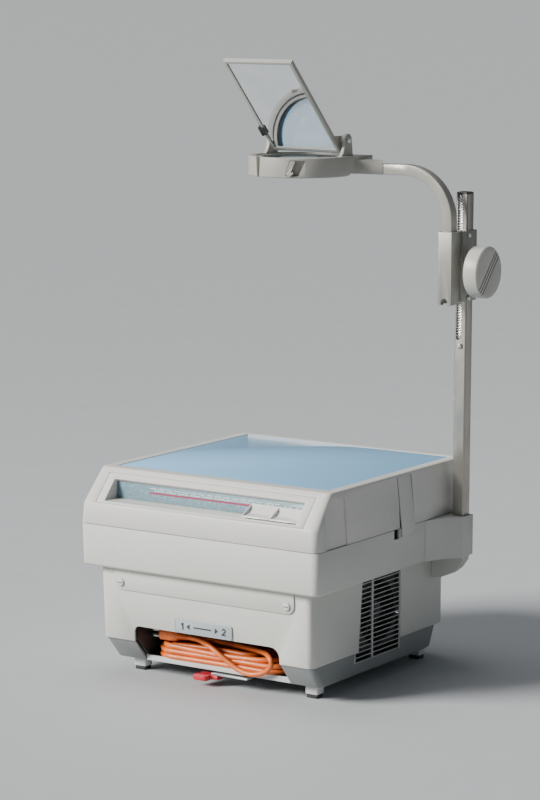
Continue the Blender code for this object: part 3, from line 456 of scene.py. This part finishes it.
def turned_x(profile, y, z, steps):
    """A profile of (x, radius) turned about an axis along x."""
    round_about = circle(steps)
    return loft([[(x, y + radius * c, z + radius * s) for c, s in round_about] for x, radius in profile])


# ---------------------------------------------------------------- mains lead
CORD_D = 6.4
HANK_LEFT, HANK_RIGHT = -66.6, 68.0
HANK_MIDDLE, HANK_RADIUS = -124.0, 22.8
LAYERS = (-222.4, -215.9, -209.4, -202.9)
BESIDE = 6.6
# Each turn of the hank: how far inside the outermost one it lies, its layer, and its reach to the right.
TURNS = (
    (0.0, 0, 0.0),
    (BESIDE, 0, -3.0),
    (BESIDE, 1, -20.0),
    (0.0, 1, 0.0),
    (0.0, 2, -10.0),
    (BESIDE, 2, -36.0),
    (BESIDE, 3, -26.0),
)
STEPS_A_TURN = 64
# The lead passes from one turn to the next near the end of the turn, a little earlier each time.
CHANGE_AT, CHANGE_EARLIER, CHANGE_LENGTH = 0.89, 0.012, 0.08
# The straight runs, this far to each side, wander a little, and more so in the loose upper layers.
RUN_HALF = 66


def stadium(u, inset, left, right):
    """A point on a winding of the hank: back straight, right arc, front straight, left arc."""
    radius = HANK_RADIUS - inset
    straight, bend = right - left, math.pi * radius
    run = u * 2 * (straight + bend)
    if run < straight:
        return left + run, HANK_MIDDLE + radius
    run -= straight
    if run < bend:
        turn = math.pi / 2 - run / radius
        return right + radius * math.cos(turn), HANK_MIDDLE + radius * math.sin(turn)
    run -= bend
    if run < straight:
        return right - run, HANK_MIDDLE - radius
    turn = -math.pi / 2 - (run - straight) / radius
    return left + radius * math.cos(turn), HANK_MIDDLE + radius * math.sin(turn)


def ease(t):
    """A smooth step from 0 to 1."""
    t = min(max(t, 0.0), 1.0)
    return t * t * (3 - 2 * t)


def winding_points():
    """Six turns of the lead, each beside or on the one before, up to where a seventh would start."""
    points = []
    for i in range(2, (len(TURNS) - 1) * STEPS_A_TURN + 1):
        t = i / STEPS_A_TURN
        inset, layer, longer = TURNS[0]
        for k, (before, after) in enumerate(zip(TURNS, TURNS[1:])):
            change = ease((t - (k + CHANGE_AT - CHANGE_EARLIER * k)) / CHANGE_LENGTH)
            inset += (after[0] - before[0]) * change
            layer += (after[1] - before[1]) * change
            longer += (after[2] - before[2]) * change
        low = min(int(layer), len(LAYERS) - 2)
        z = LAYERS[low] + (LAYERS[low + 1] - LAYERS[low]) * (layer - low)
        x, y = stadium(t % 1.0, inset, HANK_LEFT - longer * 0.25, HANK_RIGHT + longer)
        wander = 0.0
        if abs(x) < RUN_HALF:
            wander = math.sin(math.pi * (x - HANK_LEFT) / (HANK_RIGHT - HANK_LEFT))
        loose = max(0.0, layer - 0.5)
        z += (0.4 + 0.9 * loose) * wander * math.sin(2.3 * t + 0.8)
        y += 1.2 * loose * wander * math.sin(3.7 * t)
        points.append((x, y, z))
    return points


def tail_points():
    """The loose end: along the top of the hank, over the lip in one loop, and back to the plug."""
    return (
        (-57.0, -107.9, -202.9),
        (-44.0, -111.6, -202.6),
        (-30.0, -118.6, -202.2),
        (-8.0, -125.6, -201.6),
        (14.0, -130.0, -201.2),
        (36.0, -135.0, -200.9),
        (56.0, -141.0, -200.6),
        (71.0, -148.4, -200.6),
        (80.6, -154.4, -205.2),
        (81.5, -155.2, -212.4),
        (75.0, -155.4, -219.4),
        (63.0, -155.6, -224.6),
        (49.0, -155.6, -225.8),
        (35.0, -155.4, -222.4),
        (22.0, -155.0, -216.0),
        (9.0, -154.8, -208.8),
        (-4.0, -153.2, -202.2),
        (-17.0, -149.0, -198.8),
        (-30.0, -144.4, -197.4),
        (-43.0, -142.8, -197.0),
        (-50.0, -142.8, -197.0),
    )


def smooth_line(points, per_span):
    """A Catmull-Rom curve through the points."""
    line = []
    ends = [Vector(p) for p in (points[0], *points, points[-1])]
    for a, b, c, d in zip(ends, ends[1:], ends[2:], ends[3:]):
        for i in range(per_span):
            t = i / per_span
            square = (2 * a - 5 * b + 4 * c - d) * t**2
            cube = (3 * b - a - 3 * c + d) * t**3
            line.append(0.5 * (2 * b + (c - a) * t + square + cube))
    return [*line, ends[-1]]


def mains_lead():
    """The whole lead as one curve, from the gland to the plug."""
    low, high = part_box("cord_gland")
    y, z = HANK_MIDDLE + HANK_RADIUS, (low - STAGE).z / MM + CORD_D
    start = ((high - STAGE).x / MM, y, z)
    lead_in = (
        start,
        (-88.0, y, z),
        (-82.0, y, z - 0.4),
        (-75.0, y, LAYERS[0] + 0.6),
        (-67.5, y, LAYERS[0] + 0.1),
    )
    line = [*smooth_line(lead_in, 3), *winding_points(), *smooth_line(tail_points(), 5)]
    curve = bpy.data.curves.new("mains_cord", "CURVE")
    curve.dimensions = "3D"
    curve.bevel_depth = CORD_D / 2 * MM
    curve.bevel_resolution = 3
    curve.use_fill_caps = True
    spline = curve.splines.new("POLY")
    spline.points.add(len(line) - 1)
    for point, at in zip(spline.points, line):
        point.co = (*place(*at), 1)
    curve.materials.append(LOOKS["orange_cord"])
    cord = bpy.data.objects.new("mains_cord", curve)
    bpy.context.scene.collection.objects.link(cord)
    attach(cord, "base")
    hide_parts("mains_cord_hank", "mains_cord_lead")
    return cord, place(*start)


def superellipse(x, half_y, half_z, power):
    """A ring about the x axis, rounder or squarer by its power."""
    return [
        (
            x,
            half_y * math.copysign(abs(c) ** (2 / power), c),
            half_z * math.copysign(abs(s) ** (2 / power), s),
        )
        for c, s in circle(28)
    ]


PLUG_BACK = -84.0
PIN_SPREAD = 3.6
PIN_PROFILE = ((-97.0, 1.0), (-96.4, 1.7), (-95.6, 2.0), (-90.0, 2.0), (-89.8, 1.75), (-83.6, 1.75))


def plug_sections():
    """(share of the length, half width, half height, squareness) from the pins' end to the cable."""
    yield from ((0.0, 4.6, 5.4, 2.6), (0.02, 5.8, 6.6, 3.0), (0.06, 6.5, 7.2, 3.4))
    for grip in (0.16, 0.28):
        for along, half_y, half_z in ((0, 6.6, 7.2), (0.02, 6.0, 7.0), (0.06, 6.0, 7.0), (0.08, 6.6, 7.2)):
            yield grip + along, half_y, half_z, 3.4
    yield from ((0.50, 6.5, 7.0, 3.2), (0.58, 5.9, 6.5, 2.8), (0.65, 5.0, 5.6, 2.4), (0.68, 4.4, 4.6, 2.0))
    for rib in range(5):
        size = 4.4 - 0.12 * rib
        for along, radius in ((0, size - 0.7), (0.012, size), (0.03, size), (0.042, size - 0.7)):
            yield 0.70 + rib * 0.06 + along, radius, radius, 2.0
    yield 1.0, 3.5, 3.5, 2.0


def plug():
    """A moulded flat plug: body with grip ribs, ribbed cable sleeve and two round pins."""
    low, high = stage_box("mains_plug")
    y, z = (low.y + high.y) / 2, (low.z + high.z) / 2
    rings = []
    for along, half_y, half_z, power in plug_sections():
        ring = superellipse(PLUG_BACK + (high.x - PLUG_BACK) * along, half_y, half_z, power)
        rings.append([(px, y + py, z + pz) for px, py, pz in ring])
    body = piece("plug_body", *loft(rings), LOOKS["orange_cord"], "base", "orange_cord", True)
    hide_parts("mains_plug")
    pins = [turned_x(PIN_PROFILE, y, z + side, 16) for side in (-PIN_SPREAD, PIN_SPREAD)]
    metal = piece("plug_pins", *together(*pins), LOOKS["bright_steel"], "base", "bright_steel", True)
    return [body, metal]


cord, cord_exit = mains_lead()
plug_pieces = plug()


def strain_relief():
    """The tapered, ribbed sleeve on the lead where it leaves the gland."""
    low, high = stage_box("cord_gland")
    y, z = (low.y + high.y) / 2, (low.z + high.z) / 2
    profile = [(-93.2, 4.9)]
    for rib in range(6):
        x = -92.4 + rib * 3.6
        size = 4.9 - rib * 0.2
        profile += [(x, size), (x + 2.0, size - 0.06), (x + 2.3, size - 0.8), (x + 3.3, size - 0.85)]
    profile += [(-70.6, 3.7), (-70.2, 3.35)]
    sleeve = turned_x(profile, y, z, 24)
    piece("strain_relief", *sleeve, LOOKS["black_plastic"], "base", "black_plastic", True)


strain_relief()


# ---------------------------------------------------------------- CAD nodes
# Widths of the rounded edges, in millimetres. The arm's own chamfers leave room for very little.
EDGE = 0.3
SOFT_WIDTH = {
    "lid_cover": 0.8,
    "rim_frame": 1.2,
    "lower_housing": 0.9,
    "base_pan": 1.0,
    "control_panel": 0.6,
    "front_plate": 0.5,
    "column_bracket": 1.2,
    "column": 0.7,
    "collar": 1.0,
    "arm_socket": 1.0,
    "arm": 0.25,
    "lens_head": 0.8,
    "mirror_frame": 0.8,
    "focus_knob": 0.6,
    "cord_bay_tray": 0.5,
    "vent_grille": 0.25,
}
for name, made in NODES.items():
    slot_name = SLOT_OF[name]
    made.data.materials.clear()
    made.data.materials.append(LOOKS.get(name, LOOKS[slot_name]))
    if slot_name not in ("fresnel_acrylic", "mirror_face"):
        soften(made, SOFT_WIDTH.get(name, EDGE))


# ---------------------------------------------------------------- printed and fine detail, with painted shade in grooves and slots
LABEL_LEAN = 1.3
LABEL_PROUD = 0.08
INK = 0.06
PRINT_LEFT, PRINT_RIGHT = -86.0, 133.0
ROWS_END = 97.0


def label_mark(x0, x1, up0, up1):
    """A printed bar on the leaning label, between two heights above its foot."""
    foot, head = stage_box("label_panel")
    section = []
    for up, thick in ((up0, 0), (up1, 0), (up1, INK), (up0, INK)):
        y = foot.y + LABEL_LEAN * up / (head.z - foot.z) - LABEL_PROUD + thick
        section.append((y, foot.z + up))
    return loft([[(x, y, z) for y, z in section] for x in (x0, x1)])


def label_print():
    """Two rows of dashes with a few dots, and a stripe under them."""
    marks = []
    for row, (up, dash, gap) in enumerate(((15.4, 9.0, 2.6), (12.9, 15.0, 2.2))):
        x = PRINT_LEFT + 6 * row
        while x < ROWS_END - 2:
            marks.append(label_mark(x, min(x + dash, ROWS_END), up, up + 0.75))
            x += dash + gap
    for x in (80.0, 86.0, 104.0, 110.0, 120.0):
        marks.append(label_mark(x, x + 2.4, 12.6, 14.9))
    marks.append(label_mark(112.0, 130.0, 16.0, 16.8))
    stripe = label_mark(PRINT_LEFT, PRINT_RIGHT, 9.3, 11.4)
    piece("label_dashes", *together(*marks), LOOKS["white_ink"], "lid", "label_film")
    piece("label_stripe", *stripe, LOOKS["red_ink"], "lid", "label_film")


label_print()


# The rail leans back by RAIL_SLOPE for each millimetre of height, and passes RAIL_Y at RAIL_Z.
RAIL_SLOPE = 30.8 / 34.5
RAIL_Y, RAIL_Z = -158.0, -2.5
RIDGE = 0.42


def panel_ridges():
    """Fine moulded lines along the sloping rail over the recess."""
    foot, head = stage_box("control_panel")
    ridges = []
    for down in (1.6, 2.9, 4.2):
        z = head.z - down
        y = RAIL_Y - (RAIL_Z - z) * RAIL_SLOPE
        section = (
            (y, z),
            (y - RIDGE, z - 0.08),
            (y - RIDGE - 0.3 * RAIL_SLOPE, z - 0.34),
            (y - 0.5 * RAIL_SLOPE, z - 0.5),
        )
        ridges.append(loft([[(x, py, pz) for py, pz in section] for x in (foot.x + 6, head.x - 6)]))
    piece("panel_ridges", *together(*ridges), LOOKS["panel_plastic"], "lid", "panel_plastic")


panel_ridges()


def flat_marks(outlines, face_y, thick):
    """Thin plates from (x, z) outlines, standing on a face that looks forward."""
    faces = (face_y, face_y - thick)
    return together(*(loft([[(x, y, z) for x, z in outline] for y in faces]) for outline in outlines))


def arc(x, z, radius, degrees):
    """Points round (x, z) at the given directions."""
    turns = (math.radians(a) for a in degrees)
    return [(x + radius * math.cos(turn), z + radius * math.sin(turn)) for turn in turns]


def sign_marks():
    """The figures 1 and 2 with an arrow beside each, and the sign's thin border."""
    low, high = stage_box("position_sign")
    middle, face = (low.z + high.z) / 2, low.y + 0.02
    one = [
        (-30.5, -4.2),
        (-28.6, -4.2),
        (-28.6, 4.2),
        (-30.0, 4.2),
        (-32.6, 2.4),
        (-31.8, 1.1),
        (-30.5, 1.9),
    ]
    bowl = arc(28.6, 1.5, 2.9, range(165, -46, -15)) + arc(28.6, 1.5, 1.2, range(-45, 166, 15))
    leg = [
        (30.7, -0.6),
        (29.4, 0.7),
        (25.6, -2.8),
        (25.6, -4.2),
        (31.6, -4.2),
        (31.6, -2.7),
        (28.4, -2.7),
    ]
    arrows = [
        [(-24.6, 0.0), (-19.8, -3.4), (-19.8, 3.4)],
        [(20.6, 0.0), (15.8, 3.4), (15.8, -3.4)],
        [(-14.5, -0.8), (10.5, -0.8), (10.5, 0.8), (-14.5, 0.8)],
    ]
    shapes = [[(x, z + middle) for x, z in outline] for outline in (one, bowl, leg, *arrows)]
    figures = flat_marks(shapes, face, 0.35)
    piece("sign_figures", *figures, LOOKS["dark_print_and_painted_shade"], "base", "position_sign")
    left, right, foot, head = low.x + 1, high.x - 1, low.z + 1, high.z - 1
    edge = 0.7
    rim = [
        [(x0, z0), (x1, z0), (x1, z1), (x0, z1)]
        for x0, x1, z0, z1 in (
            (left, right, foot, foot + edge),
            (left, right, head - edge, head),
            (left, left + edge, foot + 0.9, head - 0.9),
            (right - edge, right, foot + 0.9, head - 0.9),
        )
    ]
    border = flat_marks(rim, face, 0.3)
    piece("sign_border", *border, LOOKS["position_sign"], "base", "position_sign")


sign_marks()


def painted_screw_slots():
    """A dark strip across each screw head of the front plate: painted shade standing for a coin slot."""
    slots = []
    for name in ("front_plate_screw_left", "front_plate_screw_right"):
        low, high = stage_box(name)
        x, z, face = (low.x + high.x) / 2, (low.z + high.z) / 2, low.y
        slots.append(block((x - 3.4, x + 3.4), (face - 0.05, face + 0.3), (z - 0.45, z + 0.45)))
    piece("painted_screw_slots", *together(*slots), LOOKS["dark_print_and_painted_shade"], "base", "body_plastic")


painted_screw_slots()


GROOVE_SPREAD, GROOVE_HALF, GROOVE_RIM = 4.7, 0.78, 2.2
GROOVE_SLANT = -42


def knob_groove_painted_shade():
    """Painted shade in the three slanting grooves of the knob: dark strips just below its face."""
    low, high = stage_box("focus_knob")
    y, z, radius = (low.y + high.y) / 2, (low.z + high.z) / 2, (high.z - low.z) / 2
    c, s = math.cos(math.radians(GROOVE_SLANT)), math.sin(math.radians(GROOVE_SLANT))
    depth = (high.x - 0.7, high.x - 0.5)
    strips = []
    for offset in (-GROOVE_SPREAD, 0.0, GROOVE_SPREAD):
        reach = math.sqrt((radius - GROOVE_RIM) ** 2 - offset**2)
        verts, faces = block(depth, (offset - GROOVE_HALF, offset + GROOVE_HALF), (-reach, reach))
        verts = [(vx, y + vy * c - vz * s, z + vy * s + vz * c) for vx, vy, vz in verts]
        strips.append((verts, faces))
    piece("knob_groove_painted_shade", *together(*strips), LOOKS["dark_print_and_painted_shade"], "knob", "knob_plastic")


knob_groove_painted_shade()


# ---------------------------------------------------------------- studio
FLOOR_HALF = 600.0
KEY_DIRECTION = (1.7, 2.2, -1.55)
KEY_STRENGTH, KEY_SOFTNESS = 6.4, 22
SKY, SKY_STRENGTH = (0.80, 0.87, 0.96, 1), 0.15
LIT_POINT = Vector((0, 0, 0.3))


def hang(name, light, direction):
    """Puts a light into the scene, looking along a direction."""
    lamp = bpy.data.objects.new(name, light)
    bpy.context.scene.collection.objects.link(lamp)
    lamp.rotation_euler = Vector(direction).to_track_quat("-Z", "Y").to_euler()
    return lamp


def area_light(name, position, size, power, colour=(1, 1, 1)):
    """A soft panel that looks at the middle of the projector."""
    light = bpy.data.lights.new(name, "AREA")
    light.shape = "RECTANGLE"
    light.size, light.size_y = size
    light.energy = power
    light.color = colour
    hang(name, light, LIT_POINT - Vector(position)).location = position


def floor():
    """A plain pale sheet, out to the horizon."""
    half = FLOOR_HALF
    corners = [(-half, -half, 0), (half, -half, 0), (half, half, 0), (-half, half, 0)]
    mesh = bpy.data.meshes.new("floor")
    mesh.from_pydata(corners, [], [(0, 1, 2, 3)])
    mesh.materials.append(moulded("floor_paper", (0.50, 0.515, 0.53), 0.7, 400, 0.00002, 0.01))
    made = bpy.data.objects.new("floor", mesh)
    bpy.context.scene.collection.objects.link(made)


def studio():
    """A soft key light from the front left, a weak sky, and two weak panels."""
    world = bpy.data.worlds.new("studio")
    bpy.context.scene.world = world
    world.use_nodes = True
    background = world.node_tree.nodes["Background"]
    background.inputs["Color"].default_value = SKY
    background.inputs["Strength"].default_value = SKY_STRENGTH
    key = bpy.data.lights.new("key", "SUN")
    key.energy = KEY_STRENGTH
    key.angle = math.radians(KEY_SOFTNESS)
    key.color = (1.0, 0.985, 0.95)
    hang("key", key, KEY_DIRECTION)
    area_light("top", (-0.5, 0.2, 2.2), (1.4, 1.2), 12)
    area_light("rim", (2.2, 0.9, 0.9), (0.5, 1.6), 2, (0.88, 0.94, 1.0))


floor()
studio()
